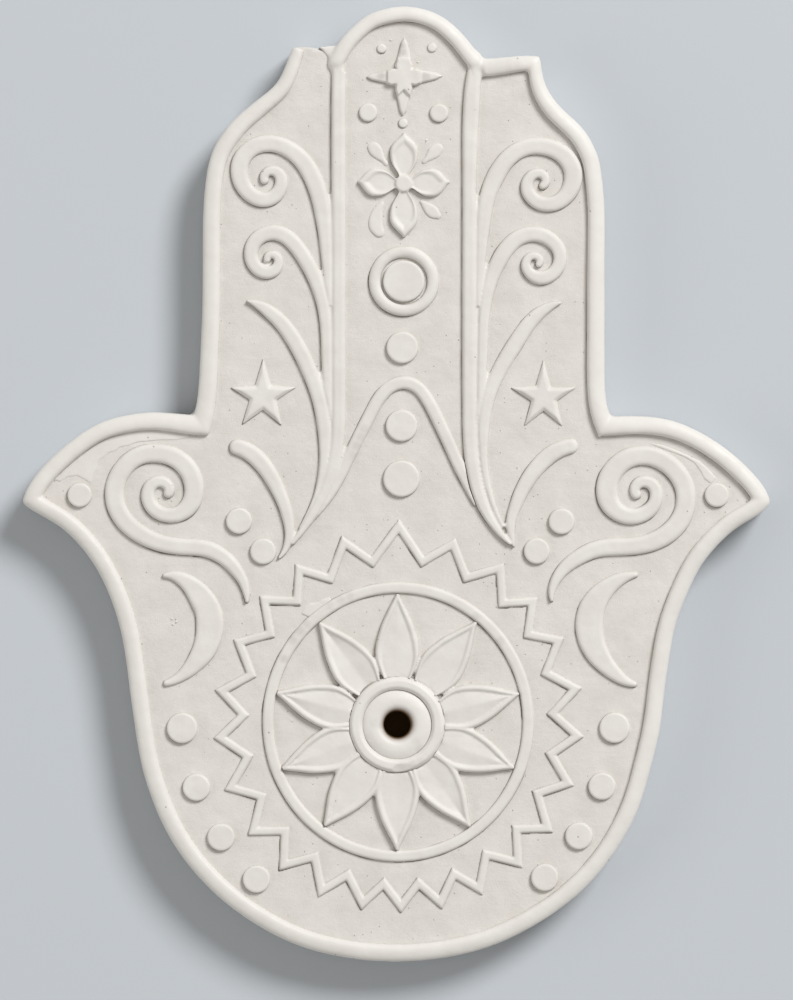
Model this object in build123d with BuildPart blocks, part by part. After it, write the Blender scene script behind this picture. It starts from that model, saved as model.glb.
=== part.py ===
from build123d import *
import math
import os

# Hamsa hand ornament with an incense stick cup, hand-built in white stoneware.
# A flat slab is cut to the outline of a hand that points to +Y. Coils and pressed
# sprigs are stuck on its face with slip, and a small cup for the stick is let into
# the palm. The back rests on z = 0, and the relief faces +Z.

os.makedirs("parts", exist_ok=True)

# Driving sizes in millimetres
hand_height = 143.4          # tip of the middle finger to the lowest edge of the palm
slab_thickness = 7.0         # rolled slab, without the relief
slab_edge_break = 0.6        # softened edge round the back
slip_gap = 0.06              # hair line left where two sprigs butt together

rim_width = 2.6              # coil laid along the outline
rim_height = 1.25
finger_rib_half_width = 1.07
finger_rib_height = 0.9
coil_half_width = 1.3        # scrolls, volutes, blades and sprouts
coil_height = 0.8
arch_half_width = 0.97
arch_height = 0.75
arch_foot_lead = 1.8        # how far the finger arch runs down past the slab's corner
crescent_half_width = 2.0
crescent_height = 0.7
flat_bevel = 0.75            # sloped shoulder of the flat-topped sprigs

star_height = 0.7
star_bevel = 0.5
tip_star_height = 0.5
tip_star_bevel = 0.22
tip_cross_height = 0.9

dot_height = 0.75
dot_edge_radius = 0.3
edge_dot_radius = 2.05
edge_dot_big_radius = 2.29
palm_dot_radius = 1.95
thumb_dot_radius = 1.83
centre_dot_small_radius = 2.38
centre_dot_big_radius = 2.74
fingertip_dot_radius = 1.38
fingertip_dot_height = 0.6
crumb_radius = 0.72
crumb_height = 0.36
bud_half_width = 1.0
bud_height = 0.28

flower_petal_half_width = 2.25
flower_petal_height = 0.7
flower_bead_width = 0.85
flower_button_radius = 1.28
flower_button_height = 0.85

target_ring_radius = 5.24
target_ring_band = 1.7
target_ring_height = 0.85
target_disc_radius = 3.12

sun_strip_width = 1.25
sun_strip_height = 0.5

medallion_band = 1.65
medallion_ring_height = 0.6
medallion_petal_half_width = 3.42
medallion_petal_height = 0.8
medallion_bead_width = 1.0
petal_crease_half_width = 0.16

cup_bore_radius = 2.0        # takes an incense stick with its wooden foot
cup_floor = 1.0              # clay left below the bore
pocket_floor = 1.2           # slab left below the cup
cup_stem_radius = 3.4
cup_flange_radius = 5.2
cup_flange_edge = 0.75       # height of the flange where it meets the collar
cup_flange_middle = 1.2      # and halfway up to the roll
cup_flange_crown = 1.3       # height of the flange at the top of its roll
cup_roll_radius = 1.35       # the roll that leads the stick into the bore
cup_seat_clearance = 0.08
collar_band = 1.8
collar_height = 1.4

cutter_overrun = 3.0

# The layout is drawn in picture pixels, x to the right and y down.
outline_top_pixel = 6
outline_bottom_pixel = 962
origin_pixel = (396.25, 484)
pixel = hand_height / (outline_bottom_pixel - outline_top_pixel)

# Section shapes, from the slab up: share of the height, share of the shoulder
coil_section_shares = [(0, 0), (0.42, 0), (0.76, 0.14), (0.94, 0.34), (1, 0.58)]
strap_section_shares = [(0, 0), (0.5, 0.06), (0.86, 0.34), (1, 0.78)]
bevel_section_shares = [(0, 0), (0.35, 0), (1, 1)]
# Rim: share of the height, share of the width at the outside and at the inside
rim_section_shares = [(0, 0, 0), (0.35, 0.02, 0), (0.62, 0.1, 0.03), (0.84, 0.26, 0.11), (0.96, 0.43, 0.21),
                      (1, 0.56, 0.32)]


def place(spot):
    return Vector((spot[0] - origin_pixel[0]) * pixel, (origin_pixel[1] - spot[1]) * pixel)


def left_of(direction):
    return Vector(-direction.Y, direction.X)


def save(piece, name):
    piece.part.label = name
    export_step(piece.part, f"parts/{name}.step")


# Outline of the hand, length by length, clockwise from the left notch

arch_edge_pixels = [(334, 49), (344, 35), (354, 25), (367, 15), (385, 8.5), (404, 6), (423, 8.5),
                    (440, 15), (454, 25), (464, 35), (473, 46), (482.5, 58)]
right_fingertip_edge_pixels = [(482.5, 58), (500, 57.3), (518, 55.6), (541, 56)]
right_finger_edge_pixels = [(541, 56), (543, 75), (546.5, 86), (552, 96), (560, 106), (570, 115.5),
                            (580, 125), (588, 135), (594, 146), (598.5, 157), (602, 175), (604.5, 200),
                            (605, 245), (605, 310), (605, 375), (606.5, 400), (610.5, 416.5)]
right_thumb_edge_pixels = [(610.5, 416.5), (642, 416), (672.7, 420.6), (697, 430.3), (721, 444.8),
                           (739.3, 459.4), (755, 475), (766, 489.7), (771.5, 503)]
palm_edge_pixels = [(771.5, 503), (757, 516), (741, 525.5), (718, 545), (702, 565), (687, 595), (676, 625),
                    (670, 655), (665, 690), (660, 730), (651, 768), (640, 805), (626, 835), (606, 865),
                    (578, 895), (540, 922.5), (495, 945), (448, 957.5), (396, 962), (343, 957.5),
                    (296, 945), (253, 923), (216, 895), (188, 865), (168, 835), (154, 805), (142, 768),
                    (135, 730), (129.5, 690), (125, 655), (119, 625), (109, 595), (94, 565), (79, 545),
                    (57, 525), (38, 514), (21, 503)]
left_thumb_edge_pixels = [(21, 503), (30, 483), (44, 465), (60, 449.5), (78, 435.5), (100, 422.8),
                          (124, 415.5), (151, 412), (177, 413.5), (194, 415)]
left_finger_edge_pixels = [(194, 415), (197.5, 395), (200, 355), (202, 310), (202.5, 245), (203.3, 205),
                           (205.5, 180), (208.5, 163), (215, 145), (222, 134), (231, 122.5), (240, 113.5),
                           (252, 103.5), (263, 95), (275, 84.5), (283, 71), (288.5, 57), (292.5, 46)]
left_fingertip_edge_pixels = [(292.5, 46), (305, 46.2), (318, 48), (334, 49)]

outline_lengths = [arch_edge_pixels, right_fingertip_edge_pixels, right_finger_edge_pixels,
                   right_thumb_edge_pixels, palm_edge_pixels, left_thumb_edge_pixels,
                   left_finger_edge_pixels, left_fingertip_edge_pixels]

cup_centre_pixel = (397, 724.6)
cup_centre = place(cup_centre_pixel)
collar_inner_radius = cup_flange_radius + cup_seat_clearance
collar_outer_radius = collar_inner_radius + collar_band

with BuildPart() as hand_slab:
    with BuildSketch():
        with BuildLine():
            for length_pixels in outline_lengths:
                Spline(*[place(spot) for spot in length_pixels])
        make_face()
    extrude(amount=slab_thickness)
    chamfer(hand_slab.faces().sort_by(Axis.Z)[0].edges(), slab_edge_break)
    with BuildSketch(Plane.XY.offset(pocket_floor)):
        with Locations(cup_centre):
            Circle(cup_stem_radius + cup_seat_clearance)
    extrude(amount=slab_thickness, mode=Mode.SUBTRACT)
save(hand_slab, "hand_slab")


# Bands: the two edges of a band are worked out from its middle line, whose rows hold
# a place and the share of the half width there.

def band_edges(rows, half_width, gap=0):
    spots = [place(row) for row in rows]
    middle = Spline(*spots)
    left, right = [], []
    for spot, row in zip(spots, rows):
        side = left_of(middle.tangent_at(spot)) * (half_width * row[2] + gap)
        left.append(spot + side)
        right.append(spot - side)
    return left, right


def round_tip(start, end):
    # half circle that closes a band from one edge to the other
    across = end - start
    tip = (start + end) / 2 + left_of(across) / 2
    return ThreePointArc(start, tip, end)


def band_blank(rows, half_width):
    # plain block of the band's outline, a hair larger, that trims what butts against it
    left, right = band_edges(rows, half_width, slip_gap)
    with BuildPart() as blank:
        with BuildSketch(Plane.XY.offset(slab_thickness - cutter_overrun)):
            with BuildLine():
                Spline(*left)
                round_tip(left[-1], right[-1])
                Spline(*reversed(right))
                round_tip(right[0], left[0])
            make_face()
        extrude(amount=2 * cutter_overrun + rim_height)
    return blank.part


def band(name, rows, half_width, height, section_shares, shoulder, trimmed_by=()):
    with BuildPart() as piece:
        left, right = band_edges(rows, half_width)
        for height_share, inset_share in section_shares:
            near, far = [], []
            for a, b in zip(left, right):
                half = (b - a).length / 2
                inward = (b - a).normalized() * inset_share * min(half, shoulder)
                near.append(a + inward)
                far.append(b - inward)
            with BuildSketch(Plane.XY.offset(slab_thickness + height * height_share)):
                with BuildLine():
                    Spline(*near)
                    round_tip(near[-1], far[-1])
                    Spline(*reversed(far))
                    round_tip(far[0], near[0])
                make_face()
        loft(ruled=True)
        for blank in trimmed_by:
            add(blank, mode=Mode.SUBTRACT)
    save(piece, name)


# Rim coils, each with the edge that it shares with the slab, mitred where two meet

def beyond(start, end):
    # block on the left of the line from start to end, for mitres
    along = (end - start).normalized()
    side = left_of(along)
    reach = hand_height
    corners = [start - along * reach, end + along * reach, end + along * reach + side * reach,
               start - along * reach + side * reach]
    with BuildPart() as block:
        with BuildSketch(Plane.XY.offset(slab_thickness - cutter_overrun)):
            with BuildLine():
                Polyline(*corners, close=True)
            make_face()
        extrude(amount=2 * cutter_overrun + rim_height)
    return block.part


def rim_coil(name, edge_pixels, width_shares, lead_in, lead_out, trimmed_by=()):
    outer = [place(spot) for spot in edge_pixels]
    edge = Spline(*outer)
    inner = []
    last = len(outer) - 1
    for index, spot in enumerate(outer):
        step = index / last * (len(width_shares) - 1)
        base = min(int(step), len(width_shares) - 2)
        share = width_shares[base] + (width_shares[base + 1] - width_shares[base]) * (step - base)
        inner.append(spot - left_of(edge.tangent_at(spot)) * rim_width * share)
    start_lead = edge.tangent_at(outer[0]) * lead_in
    end_lead = edge.tangent_at(outer[-1]) * lead_out
    with BuildPart() as piece:
        for height_share, outer_share, inner_share in rim_section_shares:
            a = [o + (i - o) * outer_share for o, i in zip(outer, inner)]
            b = [i + (o - i) * inner_share for o, i in zip(outer, inner)]
            with BuildSketch(Plane.XY.offset(slab_thickness + rim_height * height_share)):
                with BuildLine():
                    if lead_in:
                        Line(a[0] - start_lead, a[0])
                    Spline(*a)
                    if lead_out:
                        Line(a[-1], a[-1] + end_lead)
                    Line(a[-1] + end_lead, b[-1] + end_lead)
                    if lead_out:
                        Line(b[-1] + end_lead, b[-1])
                    Spline(*reversed(b))
                    if lead_in:
                        Line(b[0], b[0] - start_lead)
                    Line(b[0] - start_lead, a[0] - start_lead)
                make_face()
        loft(ruled=True)
        for blank in trimmed_by:
            add(blank, mode=Mode.SUBTRACT)
    save(piece, name)


def mitre(from_pixel, to_pixel):
    return place(from_pixel), place(to_pixel)


right_tip_mitre_pixels = [(771.5, 503), (752, 498.5)]
left_tip_mitre_pixels = [(21, 503), (40.6, 496)]
right_crotch_mitre_pixels = [(610.5, 416.5), (600.5, 436)]
left_crotch_mitre_pixels = [(194, 415), (208, 436)]
right_shoulder_mitre_pixels = [(541, 56), (526, 72)]
right_tip_mitre = mitre(*right_tip_mitre_pixels)
left_tip_mitre = mitre(*left_tip_mitre_pixels)
right_crotch_mitre = mitre(*right_crotch_mitre_pixels)
left_crotch_mitre = mitre(*left_crotch_mitre_pixels)
right_shoulder_mitre = mitre(*right_shoulder_mitre_pixels)

finger_arch_shares = [0.92, 0.9, 0.9, 0.92, 0.94]
right_fingertip_shares = [1.06, 1, 0.86]
right_finger_shares = [0.78, 0.9, 1, 1, 1, 1, 1.04, 1.06]
right_thumb_shares = [1.12, 1.06, 1.02, 1, 1, 1, 1, 1]
palm_shares = [0.95, 1, 1, 1.02, 1, 1.02, 1.04, 1.02, 1, 1, 0.97]
left_thumb_shares = [1, 1, 1, 0.98, 1.06, 1.15]
left_finger_shares = [1.12, 1.04, 1, 1, 1, 0.98, 0.86, 0.72]

# ends of the two long stems against the feet of the finger arch, and of the short coil beside it
left_foot_pixels = [(327, 59.2), (340, 68.5)]
right_foot_pixels = [(469.8, 68.6), (482.5, 58.5)]
short_coil_end_pixels = [(482.9, 80), (484.6, 50)]

rim_coil("rim_finger_arch", arch_edge_pixels, finger_arch_shares, arch_foot_lead, 0)
rim_coil("rim_right_fingertip", right_fingertip_edge_pixels, right_fingertip_shares, 0, 0,
         [beyond(*right_shoulder_mitre), beyond(*mitre(*short_coil_end_pixels))])
rim_coil("rim_right_finger", right_finger_edge_pixels, right_finger_shares, 0, rim_width,
         [beyond(right_shoulder_mitre[1], right_shoulder_mitre[0]), beyond(*right_crotch_mitre)])
rim_coil("rim_right_thumb", right_thumb_edge_pixels, right_thumb_shares, rim_width, 0,
         [beyond(right_crotch_mitre[1], right_crotch_mitre[0]), beyond(*right_tip_mitre)])
rim_coil("rim_palm", palm_edge_pixels, palm_shares, 0, 0,
         [beyond(right_tip_mitre[1], right_tip_mitre[0]), beyond(*left_tip_mitre)])
rim_coil("rim_left_thumb", left_thumb_edge_pixels, left_thumb_shares, 0, rim_width,
         [beyond(left_tip_mitre[1], left_tip_mitre[0]), beyond(*left_crotch_mitre)])
rim_coil("rim_left_finger", left_finger_edge_pixels, left_finger_shares, rim_width, 0,
         [beyond(left_crotch_mitre[1], left_crotch_mitre[0])])


# Long stems of the two fingers, and the leaves and scrolls that grow from them.
# Each blank also trims the pieces that pass under or beside it.

left_rib_rows = [(339, 52, 1.02), (338.5, 120, 1), (338.6, 200, 1), (338.7, 300, 1), (338.7, 380, 1),
                 (338.6, 420, 1), (337, 446, 0.98), (332.5, 469, 0.94), (324.5, 492, 0.84), (314, 512, 0.7),
                 (303, 529, 0.5), (293, 543, 0.24)]
right_rib_rows = [(476, 64, 1.02), (472.5, 88, 1.1), (471, 112, 1.15), (469.6, 160, 1.02),
                  (469.4, 250, 0.98), (469.2, 350, 0.98), (469.3, 410, 0.98), (470, 440, 0.98),
                  (472, 462, 0.98), (475.5, 482, 0.95), (481.5, 502, 0.85), (490, 519, 0.66),
                  (500, 533, 0.46), (510, 543.5, 0.2)]
left_rib_blank = band_blank(left_rib_rows, finger_rib_half_width)
right_rib_blank = band_blank(right_rib_rows, finger_rib_half_width)

left_blade_rows = [(248, 301, 0.14), (257, 304.3, 0.46), (268, 311, 0.74), (281, 322.5, 0.88),
                   (294, 340.5, 0.92), (305, 361, 0.92), (314, 382, 0.9), (320.5, 404, 0.86),
                   (324, 426, 0.8), (325, 450, 0.66), (322.5, 475, 0.54), (316, 499, 0.42),
                   (307, 518, 0.32), (301, 527.5, 0.2)]
right_blade_rows = [(560, 303, 0.14), (552, 305.5, 0.44), (541, 312, 0.7), (529.5, 323, 0.84),
                    (518.5, 338.5, 0.9), (507.5, 356, 0.9), (497.5, 374, 0.86), (490, 392, 0.8),
                    (485.5, 411, 0.74), (483.3, 430, 0.65), (483.2, 448, 0.52), (485, 470, 0.42),
                    (489, 490, 0.34), (494.5, 508, 0.28), (503, 526, 0.15)]
left_blade_blank = band_blank(left_blade_rows, coil_half_width)
right_blade_blank = band_blank(right_blade_rows, coil_half_width)

left_lower_scroll_rows = [(328.3, 418, 0.4), (327.3, 392, 0.52), (326.8, 360, 0.62), (326, 330, 0.66),
                          (322.5, 302, 0.76),
                          (315.5, 279.5, 0.86), (306.5, 261.5, 0.9), (297, 247.5, 0.9), (286.8, 237.3, 0.9),
                          (275.5, 232.8, 0.9), (264, 234.5, 0.88), (255, 241.5, 0.85), (251, 251.5, 0.82),
                          (252.8, 262.5, 0.8), (259, 270, 0.78), (267.3, 272.5, 0.76), (275, 269.8, 0.68),
                          (278.6, 262.3, 0.56), (275.8, 255.5, 0.48), (269.5, 254.5, 0.42),
                          (267, 259.5, 0.4)]
right_lower_scroll_rows = [(479.8, 422, 0.36), (481.3, 395, 0.48), (482.4, 360, 0.58), (483.5, 325, 0.62),
                           (486, 300, 0.7),
                           (491.5, 278, 0.82), (499, 260.5, 0.92), (508, 247, 0.94), (518, 238.3, 0.92),
                           (529, 234.3, 0.9), (540, 234.8, 0.88), (550.5, 239.8, 0.84), (557.8, 248, 0.8),
                           (560.2, 258.5, 0.77), (557, 268.5, 0.77), (549.5, 275.7, 0.79), (540, 278, 0.79),
                           (531, 274.3, 0.68), (526, 266.5, 0.57), (527.6, 258.8, 0.5), (534, 255.6, 0.44),
                           (539.6, 258.6, 0.42), (539, 264, 0.4)]
left_lower_scroll_blank = band_blank(left_lower_scroll_rows, coil_half_width)
right_lower_scroll_blank = band_blank(right_lower_scroll_rows, coil_half_width)

left_upper_scroll_rows = [(328.2, 304, 0.4), (327.6, 278, 0.52), (326.2, 250, 0.68), (323.8, 222, 0.88),
                          (319.3, 196, 1.02),
                          (312, 176, 1.06), (302.5, 161, 1.02), (290.5, 150.5, 0.98), (278, 145, 0.97),
                          (266, 143.6, 0.98), (254.5, 146.4, 0.99), (245.3, 153.5, 1.0), (240, 163.3, 1.02),
                          (239.3, 174, 1.0), (242.5, 184.5, 0.96), (249, 193.3, 0.91), (257.5, 198.6, 0.88),
                          (266.3, 199.6, 0.86), (274.5, 196, 0.84), (280, 188.7, 0.8), (281.3, 180, 0.74),
                          (278, 173, 0.66), (271.3, 170.6, 0.58), (265.3, 173.8, 0.52), (264.5, 180, 0.5)]
right_upper_scroll_rows = [(479.4, 304, 0.36), (480.4, 275, 0.5), (481.7, 245, 0.64), (484, 217, 0.82),
                           (488.3, 194, 0.94),
                           (495.5, 176.5, 1.02), (503.5, 163.5, 1.0), (514, 153.3, 0.98),
                           (526, 147.5, 0.97), (538.3, 146, 1.0), (550, 147.9, 1.02), (561, 153.2, 1.05),
                           (569.5, 162.3, 1.06), (573.3, 174.5, 1.07), (571.3, 186.5, 1.02),
                           (565.3, 196.3, 0.95), (557, 202.5, 0.89), (548, 204.5, 0.85),
                           (538.7, 202.7, 0.83), (531, 196.8, 0.8), (527, 188, 0.75), (528.7, 179.3, 0.68),
                           (535, 173.8, 0.6), (542, 174.2, 0.54), (545.7, 180, 0.5), (543, 185.5, 0.48)]

left_sprout_rows = [(237, 447.2, 0.9), (247.5, 451.3, 0.98), (258, 459.5, 1.0), (268, 472, 0.94),
                    (276.5, 487, 0.84), (283.5, 503, 0.74), (288, 519, 0.66), (289.5, 533, 0.56),
                    (286.5, 546.5, 0.4), (279.5, 557.5, 0.16)]
right_sprout_rows = [(570.5, 446.2, 0.88), (560, 449.3, 0.95), (548.5, 456.3, 0.98), (537.5, 467, 0.94),
                     (528.5, 479, 0.88), (521, 492.5, 0.8), (515.5, 506, 0.7), (511.5, 519, 0.6),
                     (510.8, 530, 0.46), (512.8, 540, 0.26), (514, 546, 0.12)]

palm_arch_rows = [(314, 517, 0.4), (326.5, 500, 0.66), (337, 482, 0.84), (346, 463, 0.92),
                  (357.5, 439.5, 0.96), (369.5, 415.5, 0.98), (380.5, 396.5, 1.0), (391, 386.5, 1.0),
                  (403.8, 382.7, 1.0), (416, 386.5, 1.0), (427, 399, 0.98), (437, 418, 0.98),
                  (446, 437, 0.98), (455.5, 458, 0.98), (466, 479, 0.98), (478, 501, 0.9)]

band("finger_rib_left", left_rib_rows, finger_rib_half_width, finger_rib_height, coil_section_shares,
     finger_rib_half_width, [beyond(*mitre(*left_foot_pixels))])
band("finger_rib_right", right_rib_rows, finger_rib_half_width, finger_rib_height, coil_section_shares,
     finger_rib_half_width, [beyond(*mitre(*right_foot_pixels))])
band("palm_arch", palm_arch_rows, arch_half_width, arch_height, coil_section_shares, arch_half_width,
     [left_rib_blank, right_rib_blank])
band("blade_left", left_blade_rows, coil_half_width, coil_height, coil_section_shares, coil_half_width,
     [left_rib_blank])
band("blade_right", right_blade_rows, coil_half_width, coil_height, coil_section_shares, coil_half_width,
     [right_rib_blank])
band("lower_scroll_left", left_lower_scroll_rows, coil_half_width, coil_height, coil_section_shares,
     coil_half_width, [left_rib_blank, left_blade_blank])
band("lower_scroll_right", right_lower_scroll_rows, coil_half_width, coil_height, coil_section_shares,
     coil_half_width, [right_rib_blank, right_blade_blank])
band("upper_scroll_left", left_upper_scroll_rows, coil_half_width, coil_height, coil_section_shares,
     coil_half_width, [left_rib_blank, left_lower_scroll_blank])
band("upper_scroll_right", right_upper_scroll_rows, coil_half_width, coil_height, coil_section_shares,
     coil_half_width, [right_rib_blank, right_lower_scroll_blank])
band("sprout_left", left_sprout_rows, coil_half_width, coil_height, coil_section_shares, coil_half_width,
     [left_rib_blank, left_blade_blank])
band("sprout_right", right_sprout_rows, coil_half_width, coil_height, coil_section_shares, coil_half_width,
     [right_rib_blank, right_blade_blank])


# Volutes on the thumbs, from the end of the tail to the eye

left_volute_rows = [(247, 601, 0.2), (246, 591, 0.44), (242, 579.5, 0.6), (235.5, 569.5, 0.74),
                    (226.5, 560, 0.85), (216, 553, 0.92), (204, 548.6, 0.95), (190, 547.2, 0.95),
                    (176, 546.2, 0.95), (161.5, 543.6, 0.97), (148, 538.5, 1.0), (135.5, 531, 1.03),
                    (124.5, 521, 1.06), (117, 508.5, 1.08), (114.4, 495, 1.1), (116.5, 481, 1.1),
                    (123.2, 468.5, 1.08), (133.3, 459, 1.06), (145, 454.2, 1.06), (157.5, 453.4, 1.07),
                    (170, 455.8, 1.1), (181.5, 462.5, 1.12), (190, 473, 1.13), (193.8, 485, 1.13),
                    (193, 497.5, 1.08), (187.5, 507.5, 1.02), (178.8, 513.8, 0.93), (169, 515.4, 0.85),
                    (159.3, 513, 0.82), (151.5, 506.5, 0.8), (147.8, 497, 0.79), (149.5, 487.5, 0.75),
                    (156, 482, 0.7), (163.5, 482.2, 0.66), (168.7, 487, 0.62), (168.5, 493, 0.58)]
right_volute_rows = [(551.7, 600, 0.2), (552.3, 589, 0.46), (556.3, 579, 0.6), (562.5, 570.3, 0.7),
                     (571, 562.5, 0.82), (581.5, 555.8, 0.9), (593.5, 550.3, 0.95), (606.5, 547.6, 1.0),
                     (621.5, 546.8, 1.01), (637, 545.8, 1.02), (651, 542.4, 1.06), (664, 536.3, 1.1),
                     (675.5, 526.5, 1.12), (683.3, 513.5, 1.12), (686, 498.5, 1.12), (683.3, 484, 1.12),
                     (675.7, 471.5, 1.12), (664.5, 462, 1.12), (652.5, 456.7, 1.12), (640, 455.6, 1.13),
                     (627.5, 458.8, 1.15), (616.5, 467, 1.18), (609, 478.5, 1.22), (606.8, 491, 1.24),
                     (610, 503.8, 1.16), (618.2, 512.5, 1.02), (628.5, 516.5, 0.95), (639, 515.7, 0.9),
                     (648.7, 510.8, 0.84), (655, 502.5, 0.78), (656.3, 493, 0.76), (653, 485.5, 0.72),
                     (646.5, 481.8, 0.69), (639.5, 482.8, 0.66), (635, 488, 0.6), (636.3, 494.5, 0.56)]
band("thumb_volute_left", left_volute_rows, coil_half_width, coil_height, coil_section_shares,
     coil_half_width)
band("thumb_volute_right", right_volute_rows, coil_half_width, coil_height, coil_section_shares,
     coil_half_width)


# Crescents beside the sun, flat on top with a sloped edge

left_crescent_rows = [(165, 575.5, 0.2), (176, 576.5, 0.42), (189, 584, 0.66), (200.5, 597, 0.9),
                      (207.8, 610.5, 1.0), (209.7, 624, 1.03), (208.2, 638, 0.98), (203, 651.5, 0.87),
                      (195, 663, 0.7), (185.5, 672.8, 0.5), (175, 680, 0.34), (166.4, 683.2, 0.24)]
right_crescent_rows = [(635, 574.8, 0.22), (625.5, 577, 0.4), (613, 583.3, 0.6), (601.5, 593.3, 0.8),
                       (592.8, 606.5, 0.97), (589.3, 622, 1.05), (590.7, 638, 1.0), (596.7, 652.7, 0.88),
                       (606, 665.3, 0.7), (616.7, 675.3, 0.52), (627, 682, 0.35), (634, 684.3, 0.23)]
band("crescent_left", left_crescent_rows, crescent_half_width, crescent_height, strap_section_shares,
     flat_bevel)
band("crescent_right", right_crescent_rows, crescent_half_width, crescent_height, strap_section_shares,
     flat_bevel)


# Sprigs with straight edges: stars, the cross on the fingertip and the sun strip

def inset_corners(corners, distance):
    # clockwise corners moved inwards, each edge by the same distance
    moved = []
    for before, corner, after in zip(corners[-1:] + corners[:-1], corners, corners[1:] + corners[:1]):
        arriving = left_of((corner - before).normalized()) * -1
        leaving = left_of((after - corner).normalized()) * -1
        diagonal = arriving + leaving
        moved.append(corner + diagonal * (2 * distance / diagonal.dot(diagonal)))
    return moved


def corner_block(corners, height, section_shares, shoulder):
    with BuildPart() as block:
        for height_share, inset_share in section_shares:
            with BuildSketch(Plane.XY.offset(slab_thickness + height * height_share)):
                with BuildLine():
                    Polyline(*inset_corners(corners, shoulder * inset_share), close=True)
                make_face()
        loft(ruled=True)
    return block.part


def star(name, tip_pixels, notch_pixels):
    corners = []
    for tip, notch in zip(tip_pixels, notch_pixels):
        corners += [place(tip), place(notch)]
    with BuildPart() as piece:
        add(corner_block(corners, star_height, bevel_section_shares, star_bevel))
    save(piece, name)


left_star_tip_pixels = [(263.3, 358.4), (295.9, 387.3), (281.6, 425.5), (242.4, 424.3), (230.6, 387.5)]
left_star_notch_pixels = [(270.8, 385.6), (276.3, 400), (262.9, 409.8), (249.7, 399.8), (255.3, 385.6)]
right_star_tip_pixels = [(543.6, 359.4), (576.3, 387.3), (562, 425.8), (524.5, 425.8), (510.7, 387.5)]
right_star_notch_pixels = [(550.6, 387.6), (556.6, 400.9), (543.6, 410.7), (531.5, 400.9), (536, 386)]
star("palm_star_left", left_star_tip_pixels, left_star_notch_pixels)
star("palm_star_right", right_star_tip_pixels, right_star_notch_pixels)

# The cross covers the middle of a four-pointed star, so that only its four tips show.
cross_corner_pixels = [(397.3, 57.9), (410.3, 57.9), (412.7, 65), (412, 68.8), (415.8, 68.1), (421.2, 70.5),
                       (421.2, 83.5), (415.8, 85.9), (412, 85.2), (412.7, 89), (410.3, 98), (404, 91),
                       (397.3, 98), (394.9, 89), (395.6, 85.2), (391.8, 85.9), (386.4, 83.5), (386.4, 70.5),
                       (391.8, 68.1), (395.6, 68.8), (394.9, 65)]
cross_corners = [place(spot) for spot in cross_corner_pixels]
with BuildPart() as cross_blank:
    with BuildSketch(Plane.XY.offset(slab_thickness - cutter_overrun)):
        with BuildLine():
            Polyline(*inset_corners(cross_corners, -slip_gap), close=True)
        make_face()
    extrude(amount=2 * cutter_overrun)

tip_star_centre_pixel = (403.8, 77)
tip_star_tip_pixels = [(404.4, 37), (442.5, 76), (402.8, 116.5), (366.2, 77)]
# outline of one arm in shares of its length, along it and to its left, and the notch after it
tip_star_arm_shares = [(0.3, 0.19), (0.52, 0.16), (0.86, 0.085), (1, 0), (0.86, -0.085), (0.52, -0.16),
                       (0.3, -0.19), (0.18, -0.18)]
tip_star_centre = place(tip_star_centre_pixel)
tip_star_corners = []
for tip_pixel in tip_star_tip_pixels:
    arm = place(tip_pixel) - tip_star_centre
    for along, aside in tip_star_arm_shares:
        tip_star_corners.append(tip_star_centre + arm * along + left_of(arm) * aside)
with BuildPart() as fingertip_star:
    add(corner_block(tip_star_corners, tip_star_height, bevel_section_shares, tip_star_bevel))
    add(cross_blank.part, mode=Mode.SUBTRACT)
save(fingertip_star, "fingertip_star")
with BuildPart() as fingertip_cross:
    add(corner_block(cross_corners, tip_cross_height, bevel_section_shares, tip_star_bevel))
save(fingertip_cross, "fingertip_cross")

sun_tip_pixels = [(399.2, 516), (456.1, 535.4), (505.9, 560), (540.3, 594.4), (567, 635.8), (585.9, 687),
                  (588, 736.8), (577.5, 787), (555.7, 834.7), (524.9, 871.2), (484.2, 900), (442.8, 914),
                  (401, 918.2), (360.7, 914.7), (316.5, 902.1), (276.5, 874), (244.9, 838.2), (221, 791.9),
                  (209.8, 738.5), (211.2, 689.4), (230.9, 638.2), (256.8, 593.3), (293.3, 561), (341, 533)]
sun_notch_pixels = [(421, 569), (463, 584.5), (496.8, 609.8), (521.4, 639.3), (538.9, 675.7),
                    (544.5, 714.3), (543.1, 752.6), (530.5, 789.8), (510.1, 823.5), (481.4, 847.3),
                    (451.2, 864.9), (417.5, 874), (384.5, 874), (350.1, 866.3), (319.3, 849.4),
                    (291.2, 824.9), (268.8, 792.6), (255.4, 754.7), (251.9, 715.4), (258.2, 677.5),
                    (276.5, 638.2), (302.4, 607.3), (333.3, 585.6), (373.3, 569.5)]
sun_section_shares = [(0, 1), (0.4, 1), (1, 0.58)]


def sun_middle():
    # middle line of the strip, half its width inside the tips and outside the notches
    corners = []
    for tip, notch in zip(sun_tip_pixels, sun_notch_pixels):
        corners += [place(tip), place(notch)]
    inside = inset_corners(corners, sun_strip_width / 2)
    outside = inset_corners(corners, -sun_strip_width / 2)
    return [inside[index] if index % 2 == 0 else outside[index] for index in range(len(corners))]


with BuildPart() as sun_zigzag:
    middle_corners = sun_middle()
    for height_share, width_share in sun_section_shares:
        with BuildSketch(Plane.XY.offset(slab_thickness + sun_strip_height * height_share)):
            with BuildLine():
                Polyline(*inset_corners(middle_corners, -sun_strip_width / 2 * width_share), close=True)
            make_face()
    loft(ruled=True)
    for height_share, width_share in sun_section_shares:
        with BuildSketch(Plane.XY.offset(slab_thickness + sun_strip_height * height_share)):
            with BuildLine():
                Polyline(*inset_corners(middle_corners, sun_strip_width / 2 * width_share), close=True)
            make_face()
    loft(ruled=True, mode=Mode.SUBTRACT)
save(sun_zigzag, "sun_zigzag")


# Round sprigs, turned about an upright axis

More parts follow.
